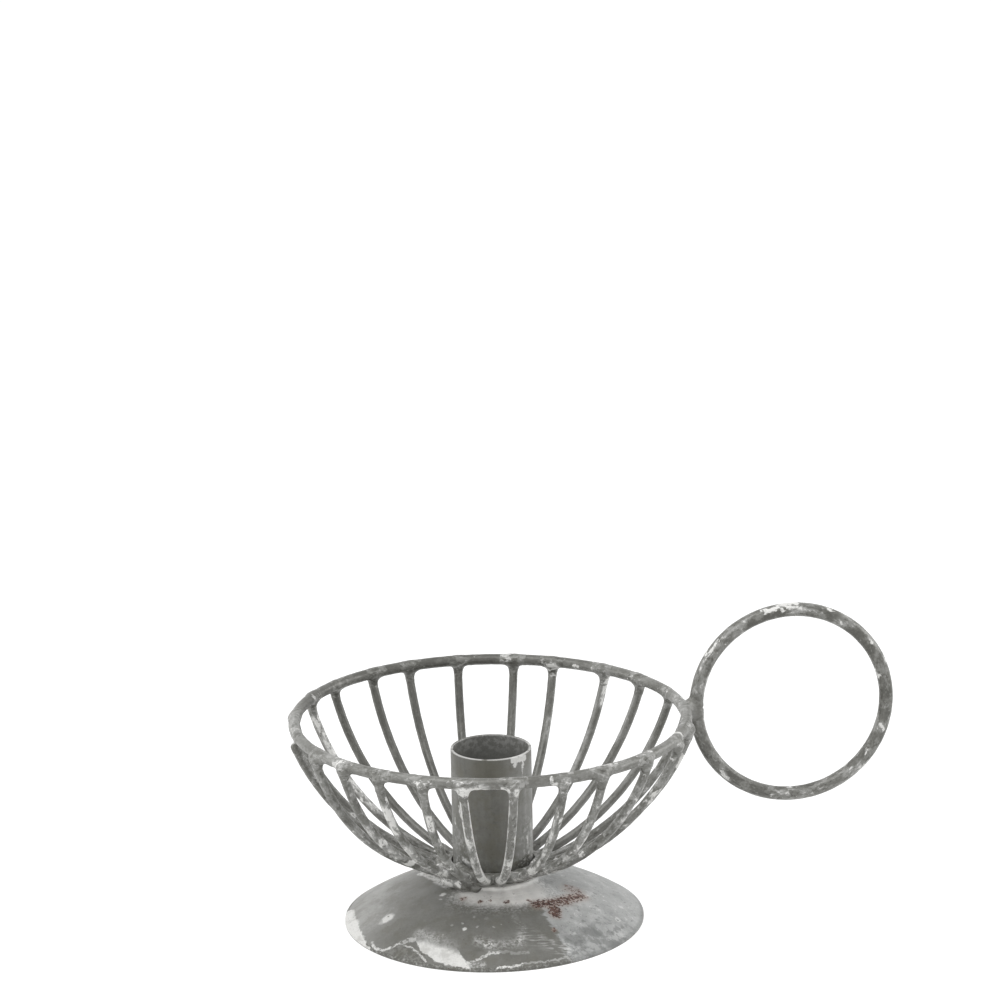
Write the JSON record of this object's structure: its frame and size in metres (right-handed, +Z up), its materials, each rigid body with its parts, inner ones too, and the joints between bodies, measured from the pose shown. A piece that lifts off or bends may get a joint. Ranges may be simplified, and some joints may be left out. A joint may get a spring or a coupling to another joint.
{
  "type": "chamberstick",
  "caption": "Old style chamberstick: a candle socket in an open wire basket on a domed metal foot, with a ring handle at the rim.",
  "frame": {"origin": "on the candle's axis at the height of the table, in the middle of the foot's standing ring", "axes": "+Z up along the candle's axis, +X towards the ring handle, +Y to the left of someone who looks along +X"},
  "size_m": [0.1811, 0.1212, 0.0927],
  "materials": {
    "foot_metal": "matte, patchy zinc-grey paint with pale wash",
    "wire_metal": "matte zinc-grey paint with pale wash",
    "socket_metal": "satin olive-grey paint",
    "weld": "matte, painted over"
  },
  "bodies": {
    "root": {"foot": "foot_metal", "foot_weld": "weld", "hub_cup": "wire_metal", "socket_weld": "weld", "candle_socket": "socket_metal", "rim": "wire_metal", "rim_welds": "weld", "ring_handle": "wire_metal", "handle_weld": "weld", "rib_01": "wire_metal", "rib_02": "wire_metal", "rib_03": "wire_metal", "rib_04": "wire_metal", "rib_05": "wire_metal", "rib_06": "wire_metal", "rib_07": "wire_metal", "rib_08": "wire_metal", "rib_09": "wire_metal", "rib_10": "wire_metal", "rib_11": "wire_metal", "rib_12": "wire_metal", "rib_13": "wire_metal", "rib_14": "wire_metal", "rib_15": "wire_metal", "rib_16": "wire_metal", "rib_17": "wire_metal", "rib_18": "wire_metal", "rib_19": "wire_metal", "rib_20": "wire_metal", "rib_21": "wire_metal", "rib_22": "wire_metal", "rib_23": "wire_metal", "rib_24": "wire_metal"}
  },
  "joints": []
}
